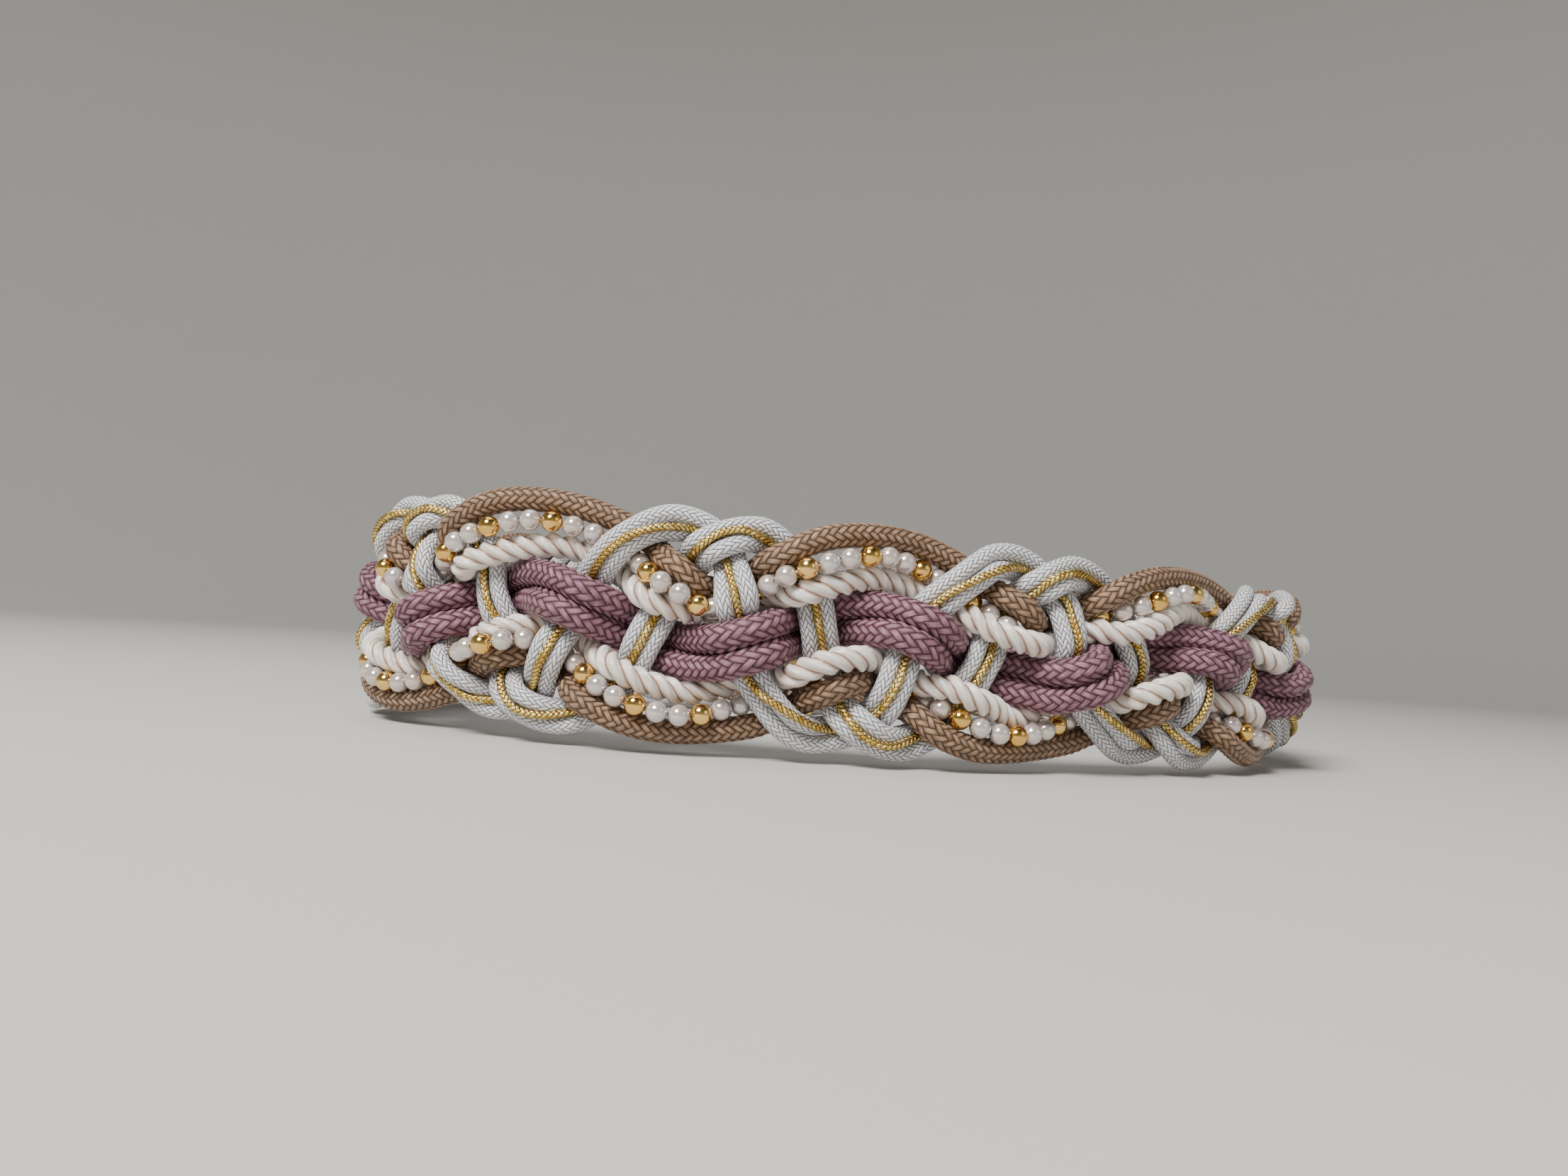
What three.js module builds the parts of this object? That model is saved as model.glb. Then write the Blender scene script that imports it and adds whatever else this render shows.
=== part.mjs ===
// Rope belt: a thick flat braid of cords and bead strings, closed into an oval loop for the waist.
// Units are millimetres, +Z is up, and the front of the belt faces -Y.
// The origin is on the floor under the middle of the loop, and the belt stands on its lower edge.
import * as THREE from "three";

// The loop's centre line is an ellipse
const LOOP_WIDTH = 310;
const LOOP_DEPTH = 194;

// Height of the braid from edge to edge at the middle of the front
const BELT_HEIGHT = 62;

// Diameters of the strands
const MAUVE_CORD = 7.6;
const TAN_CORD = 6.8;
const CREAM_ROPE = 7.2;
const WHITE_CORD = 5;
const GOLD_CORD = 1.9;
const BEAD = 6;

// The share of their diameter that is left to soft strands where they press on each other
const PRESSED = 0.93;

// Clearance between strands that touch, and between a strand's end and the clasp
const GAP = 0.35;

// How far a strand starts in front of or behind another at a crossing, before the braid settles
const THICK_SWING = 5.5;
const BUNDLE_SWING = 2.2;

// How far in front of the other strands the beads start, how far they dive behind them where the braid
// draws its strands together, and from which wave on they do
const BEAD_OFFSET = 2.5;
const BEAD_DIVE = 6.5;
const FIRST_DIVE = 5;

// The clasp at the back
const CLASP_WIDTH = 20;
const CLASP_MARGIN = 1.6;
const CLASP_CORNER = 4;
const CLASP_BEVEL = 1.2;

// Rows of a route in each wave, steps of the strands' tubes in each wave, and the sides of their sections
const WAVE_ROWS = 120;
const THICK_STEPS = 8;
const BUNDLE_STEPS = 12;
const CORD_SIDES = 5;
const GOLD_SIDES = 4;

// The waves of the braid, from the clasp round the left side, the front and the right side
// length: share of the mean wave; height: share of the belt's height at the wave's crest
const WAVES = [
  { length: 0.8, height: 1.0 },
  { length: 0.84, height: 1.02 },
  { length: 0.927, height: 1.06 },
  { length: 1.093, height: 1.09 },
  { length: 1.064, height: 1.0 },
  { length: 1.202, height: 0.93 },
  { length: 1.08, height: 0.93 },
  { length: 1.02, height: 0.96 },
  { length: 0.974, height: 1.0 },
];

// Each strand's way through one wave: [phase, height] pairs, with the phase as a share of the wave
// after its crest and the height of the strand's centre above mid-height as a share of BELT_HEIGHT
const ROUTES = {
  tanUpper: [[0.02, 0.443], [0.27, 0.393], [0.48, 0.232], [0.63, 0.16], [0.76, 0.29], [0.87, 0.408]],
  beadUpper: [[0.05, 0.363], [0.22, 0.333], [0.42, 0.176], [0.58, 0.09], [0.72, 0.14], [0.88, 0.27]],
  creamUpper: [[0.11, 0.272], [0.24, 0.236], [0.38, 0.127], [0.54, 0.05], [0.76, 0.115], [0.92, 0.184]],
  mauveUpper: [[0.07, 0.148], [0.22, 0.1], [0.37, 0.01], [0.52, -0.077], [0.66, -0.056], [0.86, 0.052]],
  mauveLower: [[0.01, 0.026], [0.17, -0.018], [0.33, -0.1], [0.47, -0.19], [0.62, -0.21], [0.8, -0.1]],
  creamLower: [
    [0.02, -0.108], [0.2, -0.15], [0.38, -0.242],
    [0.6, -0.306], [0.72, -0.234], [0.85, -0.15],
  ],
  beadLower: [
    [0, -0.175], [0.16, -0.2], [0.3, -0.3], [0.45, -0.385],
    [0.58, -0.378], [0.72, -0.3], [0.86, -0.22],
  ],
  tanLower: [
    [0.02, -0.225], [0.12, -0.247], [0.22, -0.33], [0.33, -0.435],
    [0.45, -0.468], [0.63, -0.44], [0.8, -0.345], [0.9, -0.258],
  ],
  bundleA: [
    [-0.03, -0.408], [0.09, -0.33], [0.17, -0.065], [0.25, 0.145], [0.37, 0.298], [0.5, 0.395],
    [0.6, 0.34], [0.66, 0.165], [0.72, -0.13], [0.8, -0.285], [0.9, -0.385],
  ],
  bundleB: [
    [0.115, -0.448], [0.25, -0.4], [0.34, -0.266], [0.45, 0.016], [0.56, 0.282],
    [0.67, 0.384], [0.79, 0.32], [0.87, 0.145], [0.935, -0.097], [1.0, -0.325],
  ],
};

// Which family each route belongs to, and which families each family passes over
const FAMILY = {
  tanUpper: "edge",
  beadUpper: "edge",
  creamUpper: "edge",
  mauveUpper: "middle",
  mauveLower: "middle",
  creamLower: "edge",
  beadLower: "edge",
  tanLower: "edge",
  bundleA: "bundleA",
  bundleB: "bundleB",
};
const OVER = {
  edge: ["bundleB"],
  middle: ["bundleA"],
  bundleA: ["edge"],
  bundleB: ["middle", "bundleA"],
};

// Finishes
const FINISH = {
  mauve: { color: 0x8f6670, roughness: 0.55, metalness: 0 },
  tan: { color: 0xa38067, roughness: 0.55, metalness: 0 },
  cream: { color: 0xebe1d3, roughness: 0.5, metalness: 0 },
  white: { color: 0xd8d5d5, roughness: 0.7, metalness: 0 },
  gold: { color: 0xcaa04c, roughness: 0.35, metalness: 0.9 },
  pearl: { color: 0xf2e8dc, roughness: 0.3, metalness: 0 },
};

// The braid's settling: rounds of pushing apart, and the last of them with nothing else
const SETTLE_ROUNDS = 260;
const CLEARING_ROUNDS = 110;
const PUSH = 0.45;
const STIFFNESS = 0.3;
const DEPTH_RETURN = 0.015;
const FACE_RETURN = 0.1;
const REACH = 9;

// Height of a route at a phase: a smooth curve through its points, repeated each wave.
function routeHeight(route, phase) {
  const first = route[0][0];
  const turn = ((((phase - first) % 1) + 1) % 1) + first;
  const count = route.length;
  let k = count - 1;
  while (route[k][0] > turn) k--;
  const knot = (i) => {
    const lap = Math.floor(i / count);
    const [at, height] = route[i - lap * count];
    return [at + lap, height];
  };
  const [before, from, to, after] = [knot(k - 1), knot(k), knot(k + 1), knot(k + 2)];
  const span = to[0] - from[0];
  const slopeFrom = (to[1] - before[1]) / (to[0] - before[0]);
  const slopeTo = (after[1] - from[1]) / (after[0] - from[0]);
  return hermite(from[1], slopeFrom * span, to[1], slopeTo * span, (turn - from[0]) / span);
}

function hermite(a, slopeA, b, slopeB, t) {
  const t2 = t * t;
  const t3 = t2 * t;
  return a * (2 * t3 - 3 * t2 + 1) + slopeA * (t3 - 2 * t2 + t) + b * (3 * t2 - 2 * t3) + slopeB * (t3 - t2);
}

// Where a route crosses the others in a wave, as [phase, side], with side 1 in front and -1 behind.
function crossings(name) {
  const found = [];
  for (const other of Object.keys(ROUTES)) {
    const over = OVER[FAMILY[name]].includes(FAMILY[other]);
    const under = OVER[FAMILY[other]].includes(FAMILY[name]);
    if (over === under) continue;
    let last = routeHeight(ROUTES[name], 0) - routeHeight(ROUTES[other], 0);
    for (let i = 1; i <= WAVE_ROWS; i++) {
      const phase = i / WAVE_ROWS;
      const now = routeHeight(ROUTES[name], phase) - routeHeight(ROUTES[other], phase);
      if (now * last < 0) found.push([phase - 0.5 / WAVE_ROWS, over ? 1 : -1]);
      last = now;
    }
  }
  return found.sort((a, b) => a[0] - b[0]);
}

// Side of a route at a phase, easing from each crossing to the next.
function sideAt(marks, phase) {
  const turn = phase - Math.floor(phase);
  let k = marks.length - 1;
  while (k >= 0 && marks[k][0] > turn) k--;
  const from = k < 0 ? [marks[marks.length - 1][0] - 1, marks[marks.length - 1][1]] : marks[k];
  const to = k === marks.length - 1 ? [marks[0][0] + 1, marks[0][1]] : marks[k + 1];
  const share = (turn - from[0]) / (to[0] - from[0]);
  return from[1] + ((to[1] - from[1]) * (1 - Math.cos(Math.PI * share))) / 2;
}

// Arc length round the centre ellipse from the middle of the front, at even turns up to the back
const ARC_STEPS = 1440;
const ARC = [0];
for (let i = 1; i <= ARC_STEPS; i++) {
  const turn = (Math.PI * (i - 0.5)) / ARC_STEPS;
  const across = (LOOP_WIDTH / 2) * Math.cos(turn);
  const along = (LOOP_DEPTH / 2) * Math.sin(turn);
  ARC.push(ARC[i - 1] + (Math.hypot(across, along) * Math.PI) / ARC_STEPS);
}
const HALF_LOOP = ARC[ARC_STEPS];
const END = HALF_LOOP - CLASP_WIDTH / 2 - GAP;

// Turn round the ellipse at a distance along it, positive to the right.
function turnAt(distance) {
  const length = Math.min(Math.abs(distance), HALF_LOOP);
  let low = 0;
  let high = ARC_STEPS;
  while (high - low > 1) {
    const middle = (low + high) >> 1;
    if (ARC[middle] <= length) low = middle;
    else high = middle;
  }
  const share = (length - ARC[low]) / (ARC[high] - ARC[low]);
  return (Math.sign(distance) * Math.PI * (low + share)) / ARC_STEPS;
}

// A point of the belt: distance along the loop, height, and depth outwards from the centre line.
function place(distance, height, depth) {
  const turn = turnAt(distance);
  const x = (LOOP_WIDTH / 2) * Math.sin(turn);
  const y = (-LOOP_DEPTH / 2) * Math.cos(turn);
  const out = new THREE.Vector2(x / LOOP_WIDTH ** 2, y / LOOP_DEPTH ** 2).normalize();
  return new THREE.Vector3(x + out.x * depth, y + out.y * depth, height);
}

// The waves' ends along the loop, and the phase and height share at a distance along it
const WAVE_SUM = WAVES.reduce((sum, wave) => sum + wave.length, 0);
const WAVE_ENDS = [-END];
for (const wave of WAVES) {
  WAVE_ENDS.push(WAVE_ENDS[WAVE_ENDS.length - 1] + (2 * END * wave.length) / WAVE_SUM);
}

// The phase is a whole number at each crest, and it stands still at the clasp, so strands end straight.
function phaseAt(distance) {
  let k = 0;
  while (k < WAVES.length - 1 && WAVE_ENDS[k + 1] < distance) k++;
  const span = WAVE_ENDS[k + 1] - WAVE_ENDS[k];
  const speed = (i) => (i === 0 || i === WAVES.length ? 0 : 2 / (WAVE_ENDS[i + 1] - WAVE_ENDS[i - 1]));
  const share = (distance - WAVE_ENDS[k]) / span;
  return k + 0.5 + hermite(0, speed(k) * span, 1, speed(k + 1) * span, share);
}

function heightShareAt(phase) {
  const at = Math.min(Math.max(phase - 1, 0), WAVES.length - 1);
  const k = Math.min(Math.floor(at), WAVES.length - 2);
  const ease = (1 - Math.cos(Math.PI * (at - k))) / 2;
  return WAVES[k].height + (WAVES[k + 1].height - WAVES[k].height) * ease;
}

// How far in front a bead string starts, where gathered is the phase at which the braid is narrow there
function beadOffset(phase, gathered) {
  const nearest = Math.round(phase - gathered) + gathered;
  const share = nearest < FIRST_DIVE ? 0 : (1 + Math.cos(2 * Math.PI * (phase - gathered))) / 2;
  return BEAD_OFFSET - BEAD_DIVE * share;
}

// A route through the whole belt as [distance, height, depth] rows, closely spaced.
function wholeRoute(name, swing, offsetAt = () => 0) {
  const marks = crossings(name);
  const rows = [];
  const steps = WAVES.length * WAVE_ROWS;
  for (let i = 0; i <= steps; i++) {
    const distance = -END + (2 * END * i) / steps;
    const phase = phaseAt(distance);
    const share = 0.5 + routeHeight(ROUTES[name], phase);
    const height = BELT_HEIGHT * share * heightShareAt(phase);
    rows.push([distance, height, swing * sideAt(marks, phase) + offsetAt(phase)]);
  }
  return rows;
}

// The same route moved sideways in the face of the belt, and outwards.
function beside(rows, sideways, outwards) {
  return rows.map(([distance, height, depth], i) => {
    const before = rows[Math.max(i - 1, 0)];
    const after = rows[Math.min(i + 1, rows.length - 1)];
    const along = after[0] - before[0];
    const rise = after[1] - before[1];
    const length = Math.hypot(along, rise);
    const edge = Math.min(Math.max(distance - (rise / length) * sideways, -END), END);
    return [edge, height + (along / length) * sideways, depth + outwards];
  });
}

// Evenly spaced points along rows of a route.
function evenly(rows, steps) {
  const points = rows.map((row) => place(...row));
  const lengths = [0];
  for (let i = 1; i < points.length; i++) {
    lengths.push(lengths[i - 1] + points[i].distanceTo(points[i - 1]));
  }
  const total = lengths[lengths.length - 1];
  const out = [];
  let k = 0;
  for (let i = 0; i <= steps; i++) {
    const want = (total * i) / steps;
    while (k < points.length - 2 && lengths[k + 1] < want) k++;
    const share = (want - lengths[k]) / (lengths[k + 1] - lengths[k]);
    out.push(new THREE.Vector3().lerpVectors(points[k], points[k + 1], share));
  }
  return out;
}

// The strands before they settle
function layStrands() {
  const beads = (gathered) => (phase) => beadOffset(phase, gathered);
  const thick = (name, route, diameter, finish, offsetAt) => ({
    name,
    diameter: diameter * PRESSED,
    finish,
    sides: CORD_SIDES,
    points: evenly(wholeRoute(route, THICK_SWING, offsetAt), WAVES.length * THICK_STEPS),
  });
  const strands = [
    thick("tan_cord_upper", "tanUpper", TAN_CORD, "tan"),
    thick("bead_string_upper", "beadUpper", BEAD, "pearl", beads(0.5)),
    thick("cream_rope_upper", "creamUpper", CREAM_ROPE, "cream"),
    thick("mauve_cord_upper", "mauveUpper", MAUVE_CORD, "mauve"),
    thick("mauve_cord_lower", "mauveLower", MAUVE_CORD, "mauve"),
    thick("cream_rope_lower", "creamLower", CREAM_ROPE, "cream"),
    thick("bead_string_lower", "beadLower", BEAD, "pearl", beads(0)),
    thick("tan_cord_lower", "tanLower", TAN_CORD, "tan"),
  ];
  const half = (WHITE_CORD * PRESSED + GAP) / 2;
  const out = Math.sqrt((((WHITE_CORD + GOLD_CORD) * PRESSED) / 2 + GAP) ** 2 - half ** 2);
  for (const [letter, route] of [["a", "bundleA"], ["b", "bundleB"]]) {
    const rows = wholeRoute(route, BUNDLE_SWING);
    const strand = (name, diameter, finish, sides, sideways, outwards) => ({
      name: name + letter,
      diameter: diameter * PRESSED,
      finish,
      sides,
      points: evenly(beside(rows, sideways, outwards), WAVES.length * BUNDLE_STEPS),
    });
    strands.push(strand("white_cord_upper_", WHITE_CORD, "white", CORD_SIDES, half, 0));
    strands.push(strand("white_cord_lower_", WHITE_CORD, "white", CORD_SIDES, -half, 0));
    strands.push(strand("gold_cord_", GOLD_CORD, "gold", GOLD_SIDES, 0, out));
  }
  return strands;
}

// Nearest points of two straight pieces, as their shares along each.
function nearestShares(a, b, c, d) {
  const ab = b.clone().sub(a);
  const cd = d.clone().sub(c);
  const ca = a.clone().sub(c);
  const aa = ab.dot(ab);
  const cc = cd.dot(cd);
  const ac = ab.dot(cd);
  const fa = ab.dot(ca);
  const fc = cd.dot(ca);
  const spread = aa * cc - ac * ac;
  let first = spread > 1e-9 ? THREE.MathUtils.clamp((ac * fc - fa * cc) / spread, 0, 1) : 0.5;
  const second = THREE.MathUtils.clamp((ac * first + fc) / cc, 0, 1);
  first = THREE.MathUtils.clamp((ac * second - fa) / aa, 0, 1);
  return [first, second];
}

// Pairs of pieces of different strands that lie near each other.
function nearPairs(strands) {
  const pieces = [];
  strands.forEach((strand, index) => {
    for (let k = 0; k < strand.points.length - 1; k++) {
      const middle = strand.points[k].clone().lerp(strand.points[k + 1], 0.5);
      const reach = strand.points[k].distanceTo(strand.points[k + 1]) / 2 + strand.diameter / 2;
      pieces.push({ index, k, middle, reach });
    }
  });
  const pairs = [];
  for (let i = 0; i < pieces.length; i++) {
    for (let j = i + 1; j < pieces.length; j++) {
      if (pieces[i].index === pieces[j].index) continue;
      const limit = pieces[i].reach + pieces[j].reach + REACH;
      if (pieces[i].middle.distanceTo(pieces[j].middle) < limit) pairs.push([pieces[i], pieces[j]]);
    }
  }
  return pairs;
}

// Pushes strands that are too close apart until they only touch, and keeps them smooth.
function settle(strands) {
  const home = strands.map((strand) => strand.points.map((point) => point.clone()));
  const pairs = nearPairs(strands);
  for (let round = 0; round < SETTLE_ROUNDS; round++) {
    const moves = strands.map((strand) => strand.points.map(() => new THREE.Vector3()));
    for (const [one, two] of pairs) {
      const p = strands[one.index].points;
      const q = strands[two.index].points;
      const [a, b, c, d] = [p[one.k], p[one.k + 1], q[two.k], q[two.k + 1]];
      const [first, second] = nearestShares(a, b, c, d);
      const apart = a.clone().lerp(b, first).sub(c.clone().lerp(d, second));
      const wanted = (strands[one.index].diameter + strands[two.index].diameter) / 2 + GAP;
      const distance = apart.length();
      if (distance >= wanted) continue;
      apart.multiplyScalar((PUSH * (wanted - distance)) / distance);
      moves[one.index][one.k].addScaledVector(apart, 1 - first);
      moves[one.index][one.k + 1].addScaledVector(apart, first);
      moves[two.index][two.k].addScaledVector(apart, second - 1);
      moves[two.index][two.k + 1].addScaledVector(apart, -second);
    }
    const clearing = round >= SETTLE_ROUNDS - CLEARING_ROUNDS;
    strands.forEach((strand, index) => relax(strand.points, home[index], moves[index], clearing));
  }
}

// Moves one strand's points, smooths how far they have gone, draws them back towards their route, less
// in depth than in the face of the belt, and keeps the strand's ends in their planes.
function relax(points, home, moves, clearing) {
  const gone = points.map((point, k) => point.clone().add(moves[k]).sub(home[k]));
  const last = points.length - 1;
  points.forEach((point, k) => {
    const change = gone[k].clone();
    if (!clearing) {
      const sides = gone[Math.max(k - 1, 0)].clone().add(gone[Math.min(k + 1, last)]).multiplyScalar(0.5);
      change.lerp(sides, STIFFNESS);
      const out = new THREE.Vector3(home[k].x / LOOP_WIDTH ** 2, home[k].y / LOOP_DEPTH ** 2, 0).normalize();
      out.multiplyScalar(change.dot(out));
      change.multiplyScalar(1 - FACE_RETURN).addScaledVector(out, FACE_RETURN - DEPTH_RETURN);
    }
    if (k === 0 || k === last) change.x = 0;
    point.copy(home[k]).add(change);
  });
}

// A path through given points, with its steps at them and its ends square to the clasp.
class StrandPath extends THREE.Curve {
  constructor(points) {
    super();
    this.points = points;
  }
  getPoint(share, target = new THREE.Vector3()) {
    const at = share * (this.points.length - 1);
    const k = Math.min(Math.floor(at), this.points.length - 2);
    return target.lerpVectors(this.points[k], this.points[k + 1], at - k);
  }
  getPointAt(share, target) {
    return this.getPoint(share, target);
  }
  getTangentAt(share, target = new THREE.Vector3()) {
    const last = this.points.length - 1;
    const k = Math.round(share * last);
    if (k === 0 || k === last) return target.set(-1, 0, 0);
    const before = this.points[k].clone().sub(this.points[k - 1]).normalize();
    return target.copy(this.points[k + 1]).sub(this.points[k]).normalize().add(before).normalize();
  }
}

function material(name) {
  return new THREE.MeshStandardMaterial({ name, ...FINISH[name] });
}

function strandMesh(strand) {
  const section = new THREE.Shape();
  for (let i = 0; i < strand.sides; i++) {
    const turn = (2 * Math.PI * i) / strand.sides;
    const [x, y] = [(strand.diameter / 2) * Math.cos(turn), (strand.diameter / 2) * Math.sin(turn)];
    if (i === 0) section.moveTo(x, y);
    else section.lineTo(x, y);
  }
  const geometry = new THREE.ExtrudeGeometry(section, {
    steps: strand.points.length - 1,
    bevelEnabled: false,
    extrudePath: new StrandPath(strand.points),
  });
  const mesh = new THREE.Mesh(geometry, material(strand.finish));
  mesh.name = strand.name;
  return mesh;
}

// The clasp is a plain rounded block that covers the ends of the strands.
function claspMesh(strands, floor) {
  const ends = strands.flatMap((strand) => {
    const radius = strand.diameter / 2;
    return [strand.points[0], strand.points[strand.points.length - 1]].map((point) => ({ point, radius }));
  });
  const nearest = Math.min(...ends.map(({ point, radius }) => point.y - radius)) - CLASP_MARGIN;
  const furthest = Math.max(...ends.map(({ point, radius }) => point.y + radius)) + CLASP_MARGIN;
  const top = Math.max(...ends.map(({ point, radius }) => point.z + radius)) + CLASP_MARGIN - floor;
  const half = CLASP_WIDTH / 2 - CLASP_BEVEL;
  const corner = CLASP_CORNER;
  const low = nearest + CLASP_BEVEL;
  const high = furthest - CLASP_BEVEL;
  const outline = new THREE.Shape();
  outline.moveTo(-half + corner, low);
  outline.lineTo(half - corner, low);
  outline.quadraticCurveTo(half, low, half, low + corner);
  outline.lineTo(half, high - corner);
  outline.quadraticCurveTo(half, high, half - corner, high);
  outline.lineTo(-half + corner, high);
  outline.quadraticCurveTo(-half, high, -half, high - corner);
  outline.lineTo(-half, low + corner);
  outline.quadraticCurveTo(-half, low, -half + corner, low);
  const geometry = new THREE.ExtrudeGeometry(outline, {
    depth: top - 2 * CLASP_BEVEL,
    bevelThickness: CLASP_BEVEL,
    bevelSize: CLASP_BEVEL,
    bevelSegments: 2,
    curveSegments: 4,
  });
  const mesh = new THREE.Mesh(geometry, material("gold"));
  mesh.name = "back_clasp";
  mesh.position.z = CLASP_BEVEL;
  return mesh;
}

// The belt: the strands settle, and then the lowest of them is set on the floor.
function belt() {
  const strands = layStrands();
  settle(strands);
  const floor = Math.min(
    ...strands.map(({ points, diameter }) => Math.min(...points.map((point) => point.z)) - diameter / 2),
  );
  const group = new THREE.Group();
  for (const strand of strands) {
    const mesh = strandMesh(strand);
    mesh.position.z = -floor;
    group.add(mesh);
  }
  group.add(claspMesh(strands, floor));
  return group;
}

export default belt();
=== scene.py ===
# Looks of the rope belt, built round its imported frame. Lengths are in metres.
import math

import bmesh
import bpy
import numpy as np
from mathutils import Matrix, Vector


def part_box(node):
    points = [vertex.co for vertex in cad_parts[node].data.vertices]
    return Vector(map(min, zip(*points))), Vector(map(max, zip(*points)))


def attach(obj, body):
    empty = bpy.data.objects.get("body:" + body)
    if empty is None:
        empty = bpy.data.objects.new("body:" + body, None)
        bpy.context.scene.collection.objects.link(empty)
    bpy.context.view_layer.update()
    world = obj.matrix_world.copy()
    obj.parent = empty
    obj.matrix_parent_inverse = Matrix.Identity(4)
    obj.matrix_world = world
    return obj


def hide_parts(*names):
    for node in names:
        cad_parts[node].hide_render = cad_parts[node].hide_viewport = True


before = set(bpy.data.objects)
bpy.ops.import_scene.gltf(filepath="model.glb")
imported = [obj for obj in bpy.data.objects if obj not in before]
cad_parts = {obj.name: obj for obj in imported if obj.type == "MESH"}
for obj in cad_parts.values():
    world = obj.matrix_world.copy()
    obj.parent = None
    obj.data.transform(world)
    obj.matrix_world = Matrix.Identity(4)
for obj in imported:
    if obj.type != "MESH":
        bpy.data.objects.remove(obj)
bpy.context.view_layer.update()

MM = 0.001

# A share that only keeps divisions away from zero
TINY = 1e-9

# The loop's centre line, the braid's height and the strands' diameters, as in the model
LOOP_WIDTH = 310 * MM
LOOP_DEPTH = 194 * MM
BELT_HEIGHT = 62 * MM
MAUVE_CORD = 7.6 * MM
TAN_CORD = 6.8 * MM
CREAM_ROPE = 7.2 * MM
WHITE_CORD = 5.0 * MM
GOLD_CORD = 1.9 * MM
BEAD = 6.0 * MM

# Share of its diameter that a strand keeps where the braid presses it, and the gap between strands
PRESSED = 0.93
GAP = 0.35 * MM

# How far strands start in front of and behind the middle of the belt where they cross. The beads start a
# little further in front, and from one wave on they dive behind where the braid is narrow
THICK_SWING = 5.5 * MM
BUNDLE_SWING = 2.2 * MM
BEAD_OFFSET = 2.5 * MM
BEAD_DIVE = 6.5 * MM
FIRST_DIVE = 5

# Steps of the strands' paths in each wave before they settle, rows in each wave from which these are
# taken, steps in a wave in which crossings are looked for, and finer steps between settled points
THICK_STEPS = 16
BUNDLE_STEPS = 26
ROUTE_ROWS = 60
CROSSING_STEPS = 400
FINE_STEPS = 10

# Settling of the braid: rounds in all, how many of the last only push, and then the smoothing rounds with
# their strength and the pushes after each
SETTLE_ROUNDS = 220
CLEARING_ROUNDS = 70
SMOOTHING_ROUNDS = 12
SMOOTHING_SHARE = 0.15
PUSHES_BETWEEN = 5

# How strongly strands push each other apart, keep their curve, and return in depth and in the belt's face,
# and how far off a pair of pieces is still watched
PUSH = 0.45
STIFFNESS = 0.3
DEPTH_RETURN = 0.015
FACE_RETURN = 0.1
REACH = 4 * MM

# Camera of the photograph: its frame and focal length in pixels, the pixel of the belt's middle, how
# far it stands from there, how far it is turned to the right, how much it is rolled, and its film width
PHOTO_WIDTH = 2212
PHOTO_HEIGHT = 1659
FOCAL_PIXELS = 1662
MIDDLE_PIXEL = (1200, 891)
CAMERA_DISTANCE = 417 * MM
CAMERA_TURN = math.radians(12)
CAMERA_ROLL = math.radians(3.8)
FILM_WIDTH = 36.0

# The waves of the braid, from the clasp round the left side, the front and the right side:
# (length as a share of the mean wave, height at the crest as a share of the belt's height)
WAVES = [
    (0.8, 1.0),
    (0.84, 1.02),
    (0.927, 1.06),
    (1.093, 1.09),
    (1.064, 1.0),
    (1.202, 0.93),
    (1.08, 0.93),
    (1.02, 0.96),
    (0.974, 1.0),
]

# Each strand's way through one wave: (phase, height above mid-height as a share of BELT_HEIGHT)
ROUTES = {
    "tan_upper": [(0.02, 0.443), (0.27, 0.393), (0.48, 0.232), (0.63, 0.16), (0.76, 0.29), (0.87, 0.408)],
    "bead_upper": [(0.05, 0.363), (0.22, 0.333), (0.42, 0.176), (0.58, 0.09), (0.72, 0.14), (0.88, 0.27)],
    "cream_upper": [
        (0.11, 0.272), (0.24, 0.236), (0.38, 0.127),
        (0.54, 0.05), (0.76, 0.115), (0.92, 0.184),
    ],
    "mauve_upper": [
        (0.07, 0.148), (0.22, 0.1), (0.37, 0.01),
        (0.52, -0.077), (0.66, -0.056), (0.86, 0.052),
    ],
    "mauve_lower": [(0.01, 0.026), (0.17, -0.018), (0.33, -0.1), (0.47, -0.19), (0.62, -0.21), (0.8, -0.1)],
    "cream_lower": [
        (0.02, -0.108), (0.2, -0.15), (0.38, -0.242),
        (0.6, -0.306), (0.72, -0.234), (0.85, -0.15),
    ],
    "bead_lower": [
        (0.0, -0.175), (0.16, -0.2), (0.3, -0.3), (0.45, -0.385),
        (0.58, -0.378), (0.72, -0.3), (0.86, -0.22),
    ],
    "tan_lower": [
        (0.02, -0.225), (0.12, -0.247), (0.22, -0.33), (0.33, -0.435),
        (0.45, -0.468), (0.63, -0.44), (0.8, -0.345), (0.9, -0.258),
    ],
    "bundle_a": [
        (-0.03, -0.408), (0.09, -0.33), (0.17, -0.065), (0.25, 0.145), (0.37, 0.298), (0.5, 0.395),
        (0.6, 0.34), (0.66, 0.165), (0.72, -0.13), (0.8, -0.285), (0.9, -0.385),
    ],
    "bundle_b": [
        (0.115, -0.448), (0.25, -0.4), (0.34, -0.266), (0.45, 0.016), (0.56, 0.282),
        (0.67, 0.384), (0.79, 0.32), (0.87, 0.145), (0.935, -0.097), (1.0, -0.325),
    ],
}

# The family of each route, and the families that each family lies in front of
FAMILY = {
    "tan_upper": "edge",
    "bead_upper": "edge",
    "cream_upper": "edge",
    "mauve_upper": "middle",
    "mauve_lower": "middle",
    "cream_lower": "edge",
    "bead_lower": "edge",
    "tan_lower": "edge",
    "bundle_a": "bundle_a",
    "bundle_b": "bundle_b",
}
OVER = {
    "edge": ["bundle_b"],
    "middle": ["bundle_a"],
    "bundle_a": ["edge"],
    "bundle_b": ["middle", "bundle_a"],
}

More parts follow.
